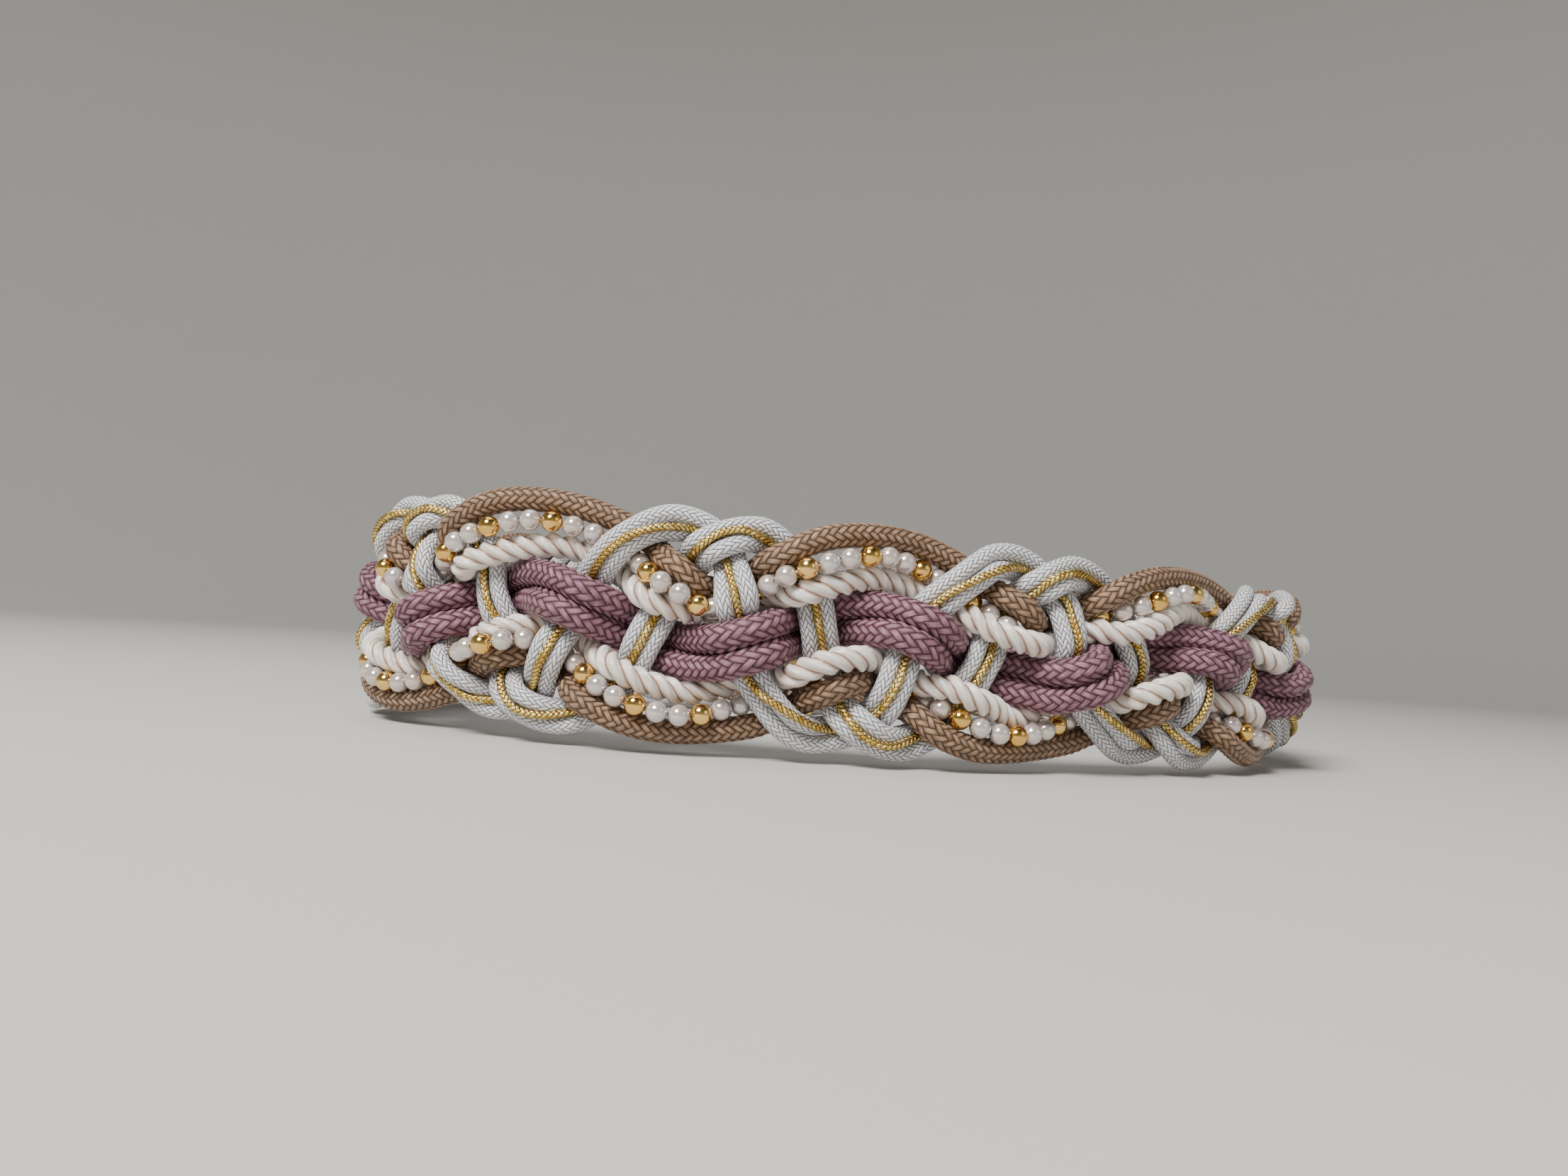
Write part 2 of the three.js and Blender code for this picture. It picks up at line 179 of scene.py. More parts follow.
# Braids: yarns each way round, length of one repeat along the cord, and, where the yarns are in the mesh,
# their relief and the steps across each
BRAIDS = {
    "mauve": {"yarns": 10, "pitch": 2.8 * MM, "relief": 0.4 * MM, "steps": 2},
    "tan": {"yarns": 10, "pitch": 2.5 * MM, "relief": 0.36 * MM, "steps": 2},
    "white": {"yarns": 12, "pitch": 2.0 * MM},
    "gold": {"yarns": 4, "pitch": 1.5 * MM, "relief": 0.18 * MM, "steps": 2},
}

# How flat a yarn is across, how bluntly it ends, the share of its relief that lies inside the cord's
# diameter, a tiny shift that keeps the mesh's points off the borders between yarns, and the step between
# the numbers by which the yarns' looks differ
YARN_FLATNESS = 3.0
YARN_END = 0.35
YARN_SEAT = 0.75
YARN_NUDGE = 1e-6
YARN_NUMBER = 3.17

# How much soft cords swell between crossings
SWELL = {"mauve": 1.05, "tan": 1.03, "cream": 1.02, "white": 1.0, "gold": 1.2}

# Round cords of plain mesh: sides and step along
WHITE_SIDES = 18
WHITE_STEP = 1.0 * MM
THREAD = 0.8 * MM
THREAD_SIDES = 6
THREAD_STEP = 4 * MM

# Twisted rope: plies, length of one full turn, columns across a ply, step along, and the least radius in
# its grooves as a share of the rope's
ROPE_PLIES = 3
ROPE_LAY = 14.2 * MM
ROPE_COLUMNS = 10
ROPE_STEP = 0.8 * MM
ROPE_GROOVE = 0.68

# Beads: pattern, number of the first gold bead on each string counted from 0, sides, rings, radius and
# depth of the drilled hole, the hole's radius inside as a share, and points along the string for each bead
BEAD_PATTERN = ("gold", "pearl", "pearl")
FIRST_GOLD = {"bead_string_upper": 2, "bead_string_lower": 1}
BEAD_SIDES = 18
BEAD_RINGS = 10
BEAD_HOLE = 0.5 * MM
HOLE_DEPTH = 1.2 * MM
HOLE_TAPER = 0.9
BEAD_PLACES = 24

# Satin yarns: their colour, a dark colour for painted shade in their creases that also darkens some floats
# at random, and a pale colour for painted highlights on their lit fibres and crests that also tints their
# gloss
SATINS = {
    "mauve": {"colour": (0.265, 0.115, 0.155), "dark_tone_and_crease_shade": (0.03, 0.01, 0.016), "light": (0.68, 0.45, 0.53)},
    "tan": {"colour": (0.28, 0.165, 0.098), "dark_tone_and_crease_shade": (0.03, 0.016, 0.009), "light": (0.78, 0.57, 0.42)},
}

# Studio floor, which bends up into a round wall, and its colour
FLOOR_RADIUS = 1.3
FLOOR_BEND = 1.0
FLOOR_BENDS = 12
FLOOR_SIDES = 72
WALL_HEIGHT = 3.2
FLOOR_COLOUR = (0.56, 0.55, 0.53)

# Lamps (place, size in metres, power in watts, colour), the height they point at, and the sky
LAMPS = {
    "key": ((-0.75, -0.85, 1.25), 0.7, 46.0, (1.0, 0.98, 0.95)),
    "fill": ((1.0, -0.9, 0.7), 0.8, 1.5, (0.95, 0.97, 1.0)),
    "top": ((-0.2, 0.25, 1.7), 1.2, 7.0, (1.0, 1.0, 1.0)),
}
LAMP_AIM = 0.03
SKY_COLOUR = (0.93, 0.95, 1.0, 1)
SKY_STRENGTH = 0.08


def hermite(a, slope_a, b, slope_b, t):
    """A cubic from a to b with the given slopes at its ends, at share t."""
    t2 = t * t
    t3 = t2 * t
    from_a = a * (2 * t3 - 3 * t2 + 1) + slope_a * (t3 - 2 * t2 + t)
    return from_a + b * (3 * t2 - 2 * t3) + slope_b * (t3 - t2)


def route_height(route, phase):
    """Height of a route at a phase: a smooth curve through its points, repeated each wave."""
    count = len(route)
    first = route[0][0]
    turn = (phase - first) % 1 + first
    k = count - 1
    while route[k][0] > turn:
        k -= 1

    def knot(i):
        lap, j = divmod(i, count)
        return route[j][0] + lap, route[j][1]

    before, start, end, after = knot(k - 1), knot(k), knot(k + 1), knot(k + 2)
    span = end[0] - start[0]
    slope_start = (end[1] - before[1]) / (end[0] - before[0])
    slope_end = (after[1] - start[1]) / (after[0] - start[0])
    return hermite(start[1], slope_start * span, end[1], slope_end * span, (turn - start[0]) / span)


def crossings(name):
    """Where a route crosses the others in a wave, as (phase, side), 1 in front and -1 behind."""
    found = []
    for other in ROUTES:
        over = FAMILY[other] in OVER[FAMILY[name]]
        under = FAMILY[name] in OVER[FAMILY[other]]
        if over == under:
            continue
        last = route_height(ROUTES[name], 0) - route_height(ROUTES[other], 0)
        for i in range(1, CROSSING_STEPS + 1):
            phase = i / CROSSING_STEPS
            now = route_height(ROUTES[name], phase) - route_height(ROUTES[other], phase)
            if now * last < 0:
                found.append(((i - 0.5) / CROSSING_STEPS, 1 if over else -1))
            last = now
    return sorted(found)


def side_at(marks, phase):
    """Side of a route at a phase, easing from each crossing to the next."""
    turn = phase % 1
    k = len(marks) - 1
    while k >= 0 and marks[k][0] > turn:
        k -= 1
    start = (marks[-1][0] - 1, marks[-1][1]) if k < 0 else marks[k]
    end = (marks[0][0] + 1, marks[0][1]) if k == len(marks) - 1 else marks[k + 1]
    share = (turn - start[0]) / (end[0] - start[0])
    return start[1] + (end[1] - start[1]) * (1 - math.cos(math.pi * share)) / 2


# Arc length round the centre ellipse from the middle of the front, at even turns up to the back, and the
# distance from there at which the strands end, a gap away from the clasp
ARC_STEPS = 1440
ARC_TURNS = np.linspace(0, math.pi, ARC_STEPS + 1)
ARC_MIDDLES = (ARC_TURNS[1:] + ARC_TURNS[:-1]) / 2
ARC_PIECES = np.hypot(LOOP_WIDTH / 2 * np.cos(ARC_MIDDLES), LOOP_DEPTH / 2 * np.sin(ARC_MIDDLES))
ARC = np.concatenate([[0], np.cumsum(ARC_PIECES * math.pi / ARC_STEPS)])
CLASP_LOW, CLASP_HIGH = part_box("back_clasp")
END = ARC[-1] - (CLASP_HIGH.x - CLASP_LOW.x) / 2 - GAP


def place(rows):
    """World points of rows of (distance along the loop, height, depth outwards)."""
    turn = np.sign(rows[:, 0]) * np.interp(np.abs(rows[:, 0]), ARC, ARC_TURNS)
    x = LOOP_WIDTH / 2 * np.sin(turn)
    y = -LOOP_DEPTH / 2 * np.cos(turn)
    out = outward(np.stack([x, y, 0 * x], 1))
    return np.stack([x, y, rows[:, 1]], 1) + out * rows[:, 2:3]


def outward(points):
    """Level direction away from the waist at world points."""
    out = np.stack([points[:, 0] / LOOP_WIDTH**2, points[:, 1] / LOOP_DEPTH**2, 0 * points[:, 0]], 1)
    return out / np.linalg.norm(out, axis=1, keepdims=True)


WAVE_SUM = sum(length for length, height in WAVES)
WAVE_ENDS = [-END]
for length, height in WAVES:
    WAVE_ENDS.append(WAVE_ENDS[-1] + 2 * END * length / WAVE_SUM)


def phase_at(distance):
    """Phase of the wave: whole at each crest, and still at the clasp, so that strands end straight."""
    k = 0
    while k < len(WAVES) - 1 and WAVE_ENDS[k + 1] < distance:
        k += 1
    span = WAVE_ENDS[k + 1] - WAVE_ENDS[k]

    def speed(i):
        return 0 if i in (0, len(WAVES)) else 2 / (WAVE_ENDS[i + 1] - WAVE_ENDS[i - 1])

    share = (distance - WAVE_ENDS[k]) / span
    return k + 0.5 + hermite(0, speed(k) * span, 1, speed(k + 1) * span, share)


def height_share(phase):
    """Height of the braid at a phase, as a share of the belt's height."""
    at = min(max(phase - 1, 0), len(WAVES) - 1)
    k = min(int(at), len(WAVES) - 2)
    ease = (1 - math.cos(math.pi * (at - k))) / 2
    return WAVES[k][1] + (WAVES[k + 1][1] - WAVES[k][1]) * ease


def bead_offset(phase, gathered):
    """How far in front a bead string starts. It dives at the gathered phase, where the braid is narrow."""
    nearest = math.floor(phase - gathered + 0.5) + gathered
    share = 0 if nearest < FIRST_DIVE else (1 + math.cos(2 * math.pi * (phase - gathered))) / 2
    return BEAD_OFFSET - BEAD_DIVE * share


def whole_route(name, swing, gathered=None):
    """A route through the whole belt as rows of (distance, height, depth), closely spaced."""
    marks = crossings(name)
    rows = []
    for distance in np.linspace(-END, END, len(WAVES) * ROUTE_ROWS + 1):
        phase = phase_at(distance)
        share = 0.5 + route_height(ROUTES[name], phase)
        height = BELT_HEIGHT * share * height_share(phase)
        offset = 0 if gathered is None else bead_offset(phase, gathered)
        rows.append((distance, height, swing * side_at(marks, phase) + offset))
    return np.array(rows)


def beside(rows, sideways, outwards):
    """The same route moved sideways in the face of the belt, and outwards."""
    along = np.gradient(rows[:, :2], axis=0)
    along /= np.linalg.norm(along, axis=1, keepdims=True)
    moved = rows.copy()
    moved[:, 0] = np.clip(rows[:, 0] - along[:, 1] * sideways, -END, END)
    moved[:, 1] += along[:, 0] * sideways
    moved[:, 2] += outwards
    return moved


def evenly(points, steps):
    """Evenly spaced points along a line of close points."""
    lengths = np.concatenate([[0], np.cumsum(np.linalg.norm(np.diff(points, axis=0), axis=1))])
    wanted = np.linspace(0, lengths[-1], steps + 1)
    return np.stack([np.interp(wanted, lengths, points[:, i]) for i in range(3)], 1)


def lay_strands():
    """The strands before they settle, as name: (diameter, points)."""
    strands = {}
    for name, route, diameter, gathered in (
        ("tan_cord_upper", "tan_upper", TAN_CORD, None),
        ("bead_string_upper", "bead_upper", BEAD, 0.5),
        ("cream_rope_upper", "cream_upper", CREAM_ROPE, None),
        ("mauve_cord_upper", "mauve_upper", MAUVE_CORD, None),
        ("mauve_cord_lower", "mauve_lower", MAUVE_CORD, None),
        ("cream_rope_lower", "cream_lower", CREAM_ROPE, None),
        ("bead_string_lower", "bead_lower", BEAD, 0),
        ("tan_cord_lower", "tan_lower", TAN_CORD, None),
    ):
        points = place(whole_route(route, THICK_SWING, gathered))
        strands[name] = (diameter, evenly(points, len(WAVES) * THICK_STEPS))
    half = (WHITE_CORD * PRESSED + GAP) / 2
    reach = (WHITE_CORD + GOLD_CORD) * PRESSED / 2 + GAP
    out = math.sqrt(reach**2 - half**2)
    for letter in "ab":
        rows = whole_route("bundle_" + letter, BUNDLE_SWING)
        for name, diameter, sideways, outwards in (
            ("white_cord_upper_", WHITE_CORD, half, 0),
            ("white_cord_lower_", WHITE_CORD, -half, 0),
            ("gold_cord_", GOLD_CORD, 0, out),
        ):
            points = place(beside(rows, sideways, outwards))
            strands[name + letter] = (diameter, evenly(points, len(WAVES) * BUNDLE_STEPS))
    return strands


def nearest_shares(a, b, c, d):
    """Nearest points of straight pieces ab and cd, as shares along each."""
    ab, cd, ca = b - a, d - c, a - c
    aa = (ab * ab).sum(1)
    cc = (cd * cd).sum(1)
    ac = (ab * cd).sum(1)
    fa = (ab * ca).sum(1)
    fc = (cd * ca).sum(1)
    spread = aa * cc - ac * ac
    small = aa * cc * TINY
    first = np.where(spread > small, np.clip((ac * fc - fa * cc) / np.maximum(spread, small), 0, 1), 0.5)
    second = np.clip((ac * first + fc) / cc, 0, 1)
    first = np.clip((ac * second - fa) / aa, 0, 1)
    return first, second


def push_apart(points, one, two, wanted):
    """How far each point has to move for the pairs of pieces that are nearer than wanted."""
    a, b, c, d = points[one], points[one + 1], points[two], points[two + 1]
    first, second = nearest_shares(a, b, c, d)
    first, second = first[:, None], second[:, None]
    apart = a + (b - a) * first - c - (d - c) * second
    distance = np.linalg.norm(apart, axis=1)
    short = np.maximum(wanted - distance, 0)
    push = apart * (PUSH * short / np.maximum(distance, TINY))[:, None]
    moves = np.zeros_like(points)
    for at, share in ((one, 1 - first), (one + 1, first), (two, second - 1), (two + 1, -second)):
        for axis in range(3):
            moves[:, axis] += np.bincount(at, (push * share)[:, axis], len(points))
    return moves


def settle(strands):
    """Pushes strands that are too close apart until they hardly touch, and smooths them."""
    names = list(strands)
    counts = [len(strands[name][1]) for name in names]
    start = np.concatenate([[0], np.cumsum(counts)])
    points = np.concatenate([strands[name][1] for name in names])
    home = points.copy()
    piece = np.concatenate([np.arange(start[i], start[i + 1] - 1) for i in range(len(names))])
    owner = np.repeat(np.arange(len(names)), [count - 1 for count in counts])
    radius = np.array([strands[name][0] / 2 * PRESSED for name in names])[owner]
    middle = (points[piece] + points[piece + 1]) / 2
    reach = np.linalg.norm(points[piece + 1] - points[piece], axis=1) / 2 + radius
    ones, twos = [], []
    for i in range(len(piece)):
        near = np.linalg.norm(middle[i + 1 :] - middle[i], axis=1) < reach[i] + reach[i + 1 :] + REACH
        found = np.nonzero(near & (owner[i + 1 :] != owner[i]))[0] + i + 1
        ones.append(np.full(len(found), i))
        twos.append(found)
    one, two = np.concatenate(ones), np.concatenate(twos)
    wanted = radius[one] + radius[two] + GAP
    one, two = piece[one], piece[two]
    index = np.arange(len(points))
    firsts = np.isin(index, start[:-1])
    lasts = np.isin(index, start[1:] - 1)
    before = np.where(firsts, index, index - 1)
    after = np.where(lasts, index, index + 1)
    out = outward(home)
    held = (firsts | lasts)[:, None]
    for done in range(SETTLE_ROUNDS):
        gone = points - home + push_apart(points, one, two, wanted)
        if done < SETTLE_ROUNDS - CLEARING_ROUNDS:
            gone += ((gone[before] + gone[after]) / 2 - gone) * STIFFNESS
            deep = (gone * out).sum(1, keepdims=True) * out
            gone = deep * (1 - DEPTH_RETURN) + (gone - deep) * (1 - FACE_RETURN)
        gone[firsts | lasts, 0] = 0
        points = home + gone
    for done in range(SMOOTHING_ROUNDS):
        points = points + np.where(held, 0, (points[before] + points[after]) / 2 - points) * SMOOTHING_SHARE
        for pushed in range(PUSHES_BETWEEN):
            points = points + np.where(held, 0, push_apart(points, one, two, wanted))
    return {name: (strands[name][0], points[start[i] : start[i + 1]]) for i, name in enumerate(names)}


def seat_on_frame(strands):
    """Lifts the settled strands by one height, so that they lie where the frame's strands lie."""
    lifts = []
    for name, strand in strands.items():
        points = strand[1]
        low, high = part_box(name)
        lifts.append((low.z + high.z) / 2 - (points[:, 2].min() + points[:, 2].max()) / 2)
    lift = float(np.mean(lifts))
    for strand in strands.values():
        strand[1][:, 2] += lift
    return lift


def fine_line(points):
    """A smooth line through points, as many closer points."""
    padded = np.concatenate([[2 * points[0] - points[1]], points, [2 * points[-1] - points[-2]]])
    a, b, c, d = padded[:-3], padded[1:-2], padded[2:-1], padded[3:]
    t = np.arange(FINE_STEPS)[None, :, None] / FINE_STEPS
    a, b, c, d = a[:, None], b[:, None], c[:, None], d[:, None]
    line = 0.5 * (2 * b + (c - a) * t + (2 * a - 5 * b + 4 * c - d) * t**2 + (3 * b - a - 3 * c + d) * t**3)
    return np.concatenate([line.reshape(-1, 3), points[-1:]])


def line_length(line):
    """Length of a line of points."""
    return float(np.linalg.norm(np.diff(line, axis=0), axis=1).sum())


def spaced_line(points, step, rows_per_step=1):
    """A smooth line through points in even rows, the number of rows, and the line's length."""
    line = fine_line(points)
    rows = int(line_length(line) / step) * rows_per_step
    line = evenly(line, rows)
    return line, rows, line_length(line)


def frames(line):
    """Directions along a line and two square to it, turned as little as possible from point to point."""
    along = np.gradient(line, axis=0)
    along[0] = along[-1] = (-1, 0, 0)
    along /= np.linalg.norm(along, axis=1, keepdims=True)
    side = np.empty_like(line)
    side[0] = (0, 0, 1)
    for i in range(1, len(line)):
        turned = side[i - 1] - along[i] * np.dot(side[i - 1], along[i])
        side[i] = turned / math.sqrt(np.dot(turned, turned))
    return along, side, np.cross(along, side)


def swept(line, turn, radius):
    """Vertices round a line, row by row, at the given turns and radii."""
    side, up = frames(line)[1:]
    ring = np.cos(turn)[..., None] * side[:, None] + np.sin(turn)[..., None] * up[:, None]
    return (line[:, None] + np.asarray(radius)[..., None] * ring).reshape(-1, 3)


def mesh_object(name, vertices, faces, uvs=None, smooth=True):
    """A mesh object from arrays: faces are rows of equal length or a list, uvs one pair for each corner."""
    mesh = bpy.data.meshes.new(name)
    if isinstance(faces, np.ndarray):
        corners = faces.size
        mesh.vertices.add(len(vertices))
        mesh.vertices.foreach_set("co", np.asarray(vertices, np.float32).ravel())
        mesh.loops.add(corners)
        mesh.loops.foreach_set("vertex_index", faces.astype(np.int32).ravel())
        mesh.polygons.add(len(faces))
        mesh.polygons.foreach_set("loop_start", np.arange(0, corners, faces.shape[1], dtype=np.int32))
        mesh.update(calc_edges=True)
    else:
        mesh.from_pydata([tuple(v) for v in vertices], [], faces)
    if uvs is not None:
        layer = mesh.uv_layers.new(name="cord")
        layer.data.foreach_set("uv", np.asarray(uvs, np.float32).ravel())
    mesh.polygons.foreach_set("use_smooth", [smooth] * len(mesh.polygons))
    mesh.validate()
    thing = bpy.data.objects.new(name, mesh)
    bpy.context.scene.collection.objects.link(thing)
    return thing


def braid_relief(a, b):
    """Height of a two-over-two braid, 0 in its creases and 1 on its yarns, at yarn coordinates a and b."""
    cell = (np.floor(a) - np.floor(b)) % 4
    in_a, in_b = a - np.floor(a), b - np.floor(b)
    first = cell < 2
    across = np.where(first, in_b, in_a) - 0.5
    along = np.where(first, in_a + cell, in_b + 3 - cell) / 2
    crown = np.clip(1 - np.abs(2 * across) ** YARN_FLATNESS, 0, 1)
    return crown * np.sin(np.pi * np.clip(along, 0, 1)) ** YARN_END


def braided_cord(name, points, diameter, braid):
    """A cord whose mesh follows its braid, so that each crease lies along the mesh's edges."""
    steps = braid["steps"]
    line, rows, length = spaced_line(points, braid["pitch"], 2 * steps)
    columns = braid["yarns"] * steps
    row = np.arange(rows + 1)[:, None]
    column = 2 * np.arange(columns)[None, :] + row % 2
    a = (row + column) / (2 * steps) + YARN_NUDGE
    b = (row - column) / (2 * steps) + YARN_NUDGE
    radius = diameter / 2 + braid["relief"] * (braid_relief(a, b) - YARN_SEAT)
    vertices = swept(line, math.pi * column / columns, radius)
    k = np.arange(columns)
    faces, corners = [], []
    for r in range(rows - 1):
        shift = r % 2
        right, left = (k + shift) % columns, (k + shift - 1) % columns
        low = r * columns
        middle, high = low + columns, low + 2 * columns
        faces.append(np.stack([low + k, middle + right, high + k, middle + left], 1))
        q = 2 * k + shift
        height = length * np.array([r, r + 1, r + 2, r + 1]) / rows
        across = np.stack([q, q + 1, q, q - 1], 1) / (2 * columns)
        corners.append(np.stack([across, np.broadcast_to(height, across.shape)], 2))
    return close_ends(name, vertices, np.concatenate(faces), np.concatenate(corners), columns, rows)


def close_ends(name, vertices, faces, corners, columns, rows):
    """Adds the two ends of a braided cord's diamond mesh, as quads round a middle point."""
    k = np.arange(columns)
    count = len(vertices)
    first = vertices[:columns].mean(0)
    last = vertices[-columns:].mean(0)
    vertices = np.concatenate([vertices, [first, last]])
    starts = np.stack([columns + k, (k + 1) % columns, np.full(columns, count), k], 1)
    high = rows * columns
    shift = (rows - 1) % 2
    right, left = (k + shift) % columns, (k + shift - 1) % columns
    ends = np.stack([high - columns + k, high + right, np.full(columns, count + 1), high + left], 1)
    faces = np.concatenate([faces, starts, ends])
    corners = np.concatenate([corners, np.zeros((2 * columns, 4, 2))])
    return mesh_object(name, vertices, faces, corners)


def tube(name, points, diameter, sides, step):
    """A round cord with closed ends."""
    line, rows, length = spaced_line(points, step)
    turn = 2 * math.pi * np.arange(sides) / sides
    return ringed(name, swept(line, turn, diameter / 2), sides, rows, length)


def ringed(name, vertices, sides, rows, length):
    """A closed mesh from rings of vertices, with uv across 0 to 1 and along in metres."""
    k = np.arange(sides)
    after = (k + 1) % sides
    ring = np.arange(rows)[:, None] * sides
    faces = np.stack([ring + k, ring + after, ring + sides + after, ring + sides + k], 2).reshape(-1, 4)
    low = np.arange(rows)[:, None] * length / rows
    across = np.broadcast_to(np.stack([k, k + 1, k + 1, k], 1) / sides, (rows, sides, 4))
    heights = np.stack([low, low, low + length / rows, low + length / rows], 2)
    heights = np.broadcast_to(heights, (rows, sides, 4))
    corners = np.stack([across, heights], 3).reshape(-1, 4, 2)
    thing = mesh_object(name, vertices, faces, corners)
    cap(thing.data, sides, rows)
    return thing


def cap(mesh, sides, rows):
    """Closes the first and last rings."""
    work = bmesh.new()
    work.from_mesh(mesh)
    work.verts.ensure_lookup_table()
    work.faces.new([work.verts[i] for i in range(sides - 1, -1, -1)])
    work.faces.new([work.verts[rows * sides + i] for i in range(sides)])
    work.to_mesh(mesh)
    work.free()


def twisted_rope(name, points, diameter):
    """A three-ply rope whose mesh turns with its plies, so that each groove lies along the mesh's edges."""
    line, rows, length = spaced_line(points, ROPE_STEP)
    columns = ROPE_PLIES * ROPE_COLUMNS
    ply = 2 * math.pi / ROPE_PLIES
    local = (np.arange(columns) / ROPE_COLUMNS) % 1
    off = (local - 0.5) * ply
    ply_radius = diameter / 2 / (1 + 1 / math.sin(ply / 2))
    centre = diameter / 2 - ply_radius
    reach = centre * np.cos(off) + np.sqrt(np.clip(ply_radius**2 - (centre * np.sin(off)) ** 2, 0, None))
    reach = np.maximum(reach, ROPE_GROOVE * diameter / 2)
    twist = 2 * math.pi * np.arange(rows + 1)[:, None] * length / rows / ROPE_LAY
    turn = 2 * math.pi * np.arange(columns)[None, :] / columns + twist
    return ringed(name, swept(line, turn, reach), columns, rows, length)


def bead_mesh():
    """One drilled bead along Z, as vertices and faces."""
    radius = BEAD / 2
    tip = math.asin(BEAD_HOLE / radius)
    rings = []
    for i in range(BEAD_RINGS + 1):
        angle = tip + (math.pi - 2 * tip) * i / BEAD_RINGS
        rings.append((radius * math.sin(angle), radius * math.cos(angle)))
    inner = BEAD_HOLE * HOLE_TAPER
    rings = [(inner, rings[0][1] - HOLE_DEPTH), *rings, (inner, rings[-1][1] + HOLE_DEPTH)]
    turn = 2 * math.pi * np.arange(BEAD_SIDES) / BEAD_SIDES
    vertices = np.concatenate([
        np.stack([r * np.cos(turn), r * np.sin(turn), np.full(BEAD_SIDES, z)], 1) for r, z in rings
    ])
    k = np.arange(BEAD_SIDES)
    after = (k + 1) % BEAD_SIDES
    faces = []
    for i in range(len(rings)):
        low, high = i * BEAD_SIDES, (i + 1) % len(rings) * BEAD_SIDES
        faces.append(np.stack([low + k, high + k, high + after, low + after], 1))
    return vertices, np.concatenate(faces)


def bead_string(name, points, first_gold):
    """Beads that touch along a string, as one joined mesh for each kind, and the string's thread."""
    line, rows = spaced_line(points, BEAD, BEAD_PLACES)[:2]
    along, side, up = frames(line)
    shape, faces = bead_mesh()
    pieces = []
    for kind in ("pearl", "gold"):
        vertices, joined = [], []
        for i, at in enumerate(range(BEAD_PLACES // 2, rows, BEAD_PLACES)):
            if BEAD_PATTERN[(i - first_gold) % len(BEAD_PATTERN)] != kind:
                continue
            turned = shape[:, :1] * side[at] + shape[:, 1:2] * up[at] + shape[:, 2:] * along[at]
            joined.append(faces + len(shape) * len(vertices))
            vertices.append(turned + line[at])
        vertices, joined = np.concatenate(vertices), np.concatenate(joined)
        pieces.append(mesh_object(name + "_" + kind + "s", vertices, joined))
    pieces.append(tube(name + "_thread", points, THREAD, THREAD_SIDES, THREAD_STEP))
    return pieces


class Nodes:
    """Short calls for a material's nodes. Each gives the node's output."""

    def __init__(self, name):
        self.material = bpy.data.materials.new(name)
        self.material.use_nodes = True
        self.tree = self.material.node_tree
        self.shader = self.tree.nodes["Principled BSDF"]

    def put(self, socket, value):
        """Links an output to a socket, or sets the socket to a plain value."""
        if hasattr(value, "is_output") and value.is_output:
            self.tree.links.new(value, socket)
        else:
            socket.default_value = value

    def math(self, operation, first, second=0.0, third=0.0):
        node = self.tree.nodes.new("ShaderNodeMath")
        node.operation = operation
        for socket, value in zip(node.inputs, (first, second, third)):
            self.put(socket, value)
        return node.outputs[0]

    def uv(self):
        """Share of a turn round the cord, and metres along it."""
        node = self.tree.nodes.new("ShaderNodeUVMap")
        node.uv_map = "cord"
        split = self.tree.nodes.new("ShaderNodeSeparateXYZ")
        self.put(split.inputs[0], node.outputs[0])
        return split.outputs[0], split.outputs[1]

    def vector(self, x, y, z=0.0):
        node = self.tree.nodes.new("ShaderNodeCombineXYZ")
        for socket, value in zip(node.inputs, (x, y, z)):
            self.put(socket, value)
        return node.outputs[0]

    def noise(self, vector, scale, detail=2.0, roughness=0.5):
        node = self.tree.nodes.new("ShaderNodeTexNoise")
        self.put(node.inputs["Vector"], vector)
        node.inputs["Scale"].default_value = scale
        node.inputs["Detail"].default_value = detail
        node.inputs["Roughness"].default_value = roughness
        return node.outputs[0]

    def random(self, vector):
        node = self.tree.nodes.new("ShaderNodeTexWhiteNoise")
        node.noise_dimensions = "3D"
        self.put(node.inputs["Vector"], vector)
        return node.outputs["Value"]

    def place(self):
        """The point in metres."""
        return self.tree.nodes.new("ShaderNodeTexCoord").outputs["Object"]

    def ramp(self, value, low, high, first, last):
        """From first at low to last at high, and level outside."""
        node = self.tree.nodes.new("ShaderNodeMapRange")
        self.put(node.inputs["Value"], value)
        for name, number in (("From Min", low), ("From Max", high), ("To Min", first), ("To Max", last)):
            self.put(node.inputs[name], number)
        return node.outputs[0]

    def mix(self, share, first, second):
        node = self.tree.nodes.new("ShaderNodeMix")
        node.data_type = "RGBA"
        self.put(node.inputs["Factor"], share)
        for socket, colour in ((node.inputs["A"], first), (node.inputs["B"], second)):
            self.put(pick(node, socket, "RGBA"), colour if hasattr(colour, "is_output") else (*colour, 1))
        return [s for s in node.outputs if s.type == "RGBA"][0]

    def bump(self, height, distance, strength=1.0, under=None):
        node = self.tree.nodes.new("ShaderNodeBump")
        node.inputs["Strength"].default_value = strength
        node.inputs["Distance"].default_value = distance
        self.put(node.inputs["Height"], height)
        if under is not None:
            self.put(node.inputs["Normal"], under)
        return node.outputs[0]

    def set(self, **values):
        """Sets the shader's sockets and gives the material."""
        for name, value in values.items():
            socket = self.shader.inputs[name.replace("_", " ")]
            if isinstance(value, tuple) and len(value) == 3:
                value = (*value, 1)
            self.put(socket, value)
        return self.material


def pick(node, socket, kind):
    """The input of a Mix node with the same name as socket and the wanted type."""
    return [s for s in node.inputs if s.name == socket.name and s.type == kind][0]


